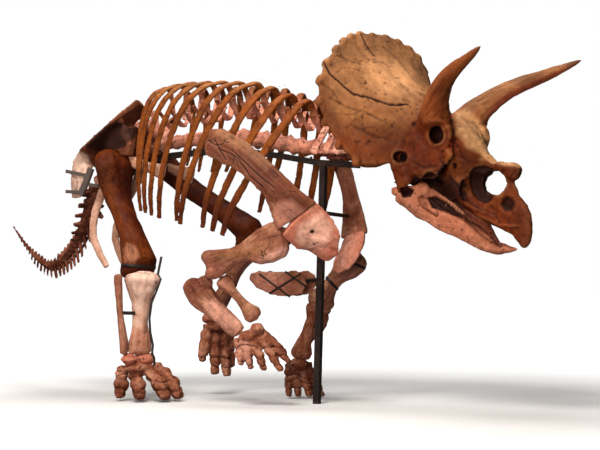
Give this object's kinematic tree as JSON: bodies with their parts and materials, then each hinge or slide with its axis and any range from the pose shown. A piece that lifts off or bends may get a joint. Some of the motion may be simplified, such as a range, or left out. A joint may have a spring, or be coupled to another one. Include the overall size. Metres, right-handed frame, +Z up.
{
  "type": "mounted horned dinosaur skeleton",
  "caption": "Life-size fossil skeleton of a horned dinosaur in mid stride, with frilled skull, ribs and tail, held on a steel stand.",
  "frame": {"origin": "middle of the stand post's foot on the floor", "axes": "+X towards the head, +Y to the animal's left, +Z up from the floor"},
  "size_m": [6.0204, 2.0716, 2.9313],
  "materials": {
    "ankle_left": "dull mineralised bone, mottled",
    "ankle_right": "dull mineralised bone, mottled",
    "beak": "dull mineralised bone, mottled",
    "brow_horn_left": "dull mineralised bone, mottled",
    "brow_horn_right": "dull mineralised bone, mottled",
    "coracoid_left": "dull mineralised bone, mottled",
    "coracoid_right": "dull mineralised bone, mottled",
    "femur_left": "dull mineralised bone, mottled",
    "femur_right": "dull mineralised bone, mottled",
    "fibula_left": "dull mineralised bone, mottled",
    "fibula_right": "dull mineralised bone, mottled",
    "foot_left": "dull mineralised bone, mottled",
    "foot_right": "dull mineralised bone, mottled",
    "frill": "dull mineralised bone, mottled",
    "hand_left": "dull mineralised bone, mottled",
    "hand_right": "dull mineralised bone, mottled",
    "humerus_left": "dull mineralised bone, mottled",
    "humerus_right": "dull mineralised bone, mottled",
    "ilium_left": "dull mineralised bone, mottled",
    "ilium_right": "dull mineralised bone, mottled",
    "ischium_left": "dull mineralised bone, mottled",
    "ischium_right": "dull mineralised bone, mottled",
    "lower_jaw": "dull mineralised bone, mottled",
    "neck": "dull mineralised bone, mottled",
    "nose_horn": "dull mineralised bone, mottled",
    "pubis_left": "dull mineralised bone, mottled",
    "pubis_right": "dull mineralised bone, mottled",
    "radius_left": "dull mineralised bone, mottled",
    "radius_right": "dull mineralised bone, mottled",
    "ribcage_left": "dull mineralised bone, mottled",
    "ribcage_right": "dull mineralised bone, mottled",
    "sacrum": "dull mineralised bone, mottled",
    "scapula_left": "dull mineralised bone, mottled",
    "scapula_right": "dull mineralised bone, mottled",
    "skull": "dull mineralised bone, mottled",
    "stand_hip_bracket": "satin black-brown paint, worn",
    "stand_leg_rod": "satin black-brown paint, worn",
    "stand_post": "satin black-brown paint, worn",
    "stand_scapula_clamp_left": "satin black-brown paint, worn",
    "stand_scapula_clamp_right": "satin black-brown paint, worn",
    "stand_shin_strap": "satin black-brown paint, worn",
    "stand_shoulder_bar": "satin black-brown paint, worn",
    "stand_spine_beam": "satin black-brown paint, worn",
    "stand_sternal_bar": "satin black-brown paint, worn",
    "stand_tail_rod": "satin black-brown paint, worn",
    "sternal_left": "dull mineralised bone, mottled",
    "sternal_right": "dull mineralised bone, mottled",
    "tail_base": "dull mineralised bone, mottled",
    "tail_middle": "dull mineralised bone, mottled",
    "tail_tip": "dull mineralised bone, mottled",
    "tibia_left": "dull mineralised bone, mottled",
    "tibia_right": "dull mineralised bone, mottled",
    "ulna_left": "dull mineralised bone, mottled",
    "ulna_right": "dull mineralised bone, mottled"
  },
  "bodies": {
    "root": {"ankle_left": "ankle_left", "ankle_right": "ankle_right", "beak": "beak", "brow_horn_left": "brow_horn_left", "brow_horn_right": "brow_horn_right", "coracoid_left": "coracoid_left", "coracoid_right": "coracoid_right", "femur_left": "femur_left", "femur_right": "femur_right", "fibula_left": "fibula_left", "fibula_right": "fibula_right", "foot_left": "foot_left", "foot_right": "foot_right", "frill": "frill", "hand_left": "hand_left", "hand_right": "hand_right", "humerus_left": "humerus_left", "humerus_right": "humerus_right", "ilium_left": "ilium_left", "ilium_right": "ilium_right", "ischium_left": "ischium_left", "ischium_right": "ischium_right", "lower_jaw": "lower_jaw", "neck": "neck", "nose_horn": "nose_horn", "pubis_left": "pubis_left", "pubis_right": "pubis_right", "radius_left": "radius_left", "radius_right": "radius_right", "ribcage_left": "ribcage_left", "ribcage_right": "ribcage_right", "sacrum": "sacrum", "scapula_left": "scapula_left", "scapula_right": "scapula_right", "skull": "skull", "stand_hip_bracket": "stand_hip_bracket", "stand_leg_rod": "stand_leg_rod", "stand_post": "stand_post", "stand_scapula_clamp_left": "stand_scapula_clamp_left", "stand_scapula_clamp_right": "stand_scapula_clamp_right", "stand_shin_strap": "stand_shin_strap", "stand_shoulder_bar": "stand_shoulder_bar", "stand_spine_beam": "stand_spine_beam", "stand_sternal_bar": "stand_sternal_bar", "stand_tail_rod": "stand_tail_rod", "sternal_left": "sternal_left", "sternal_right": "sternal_right", "tail_base": "tail_base", "tail_middle": "tail_middle", "tail_tip": "tail_tip", "tibia_left": "tibia_left", "tibia_right": "tibia_right", "ulna_left": "ulna_left", "ulna_right": "ulna_right"}
  },
  "joints": []
}
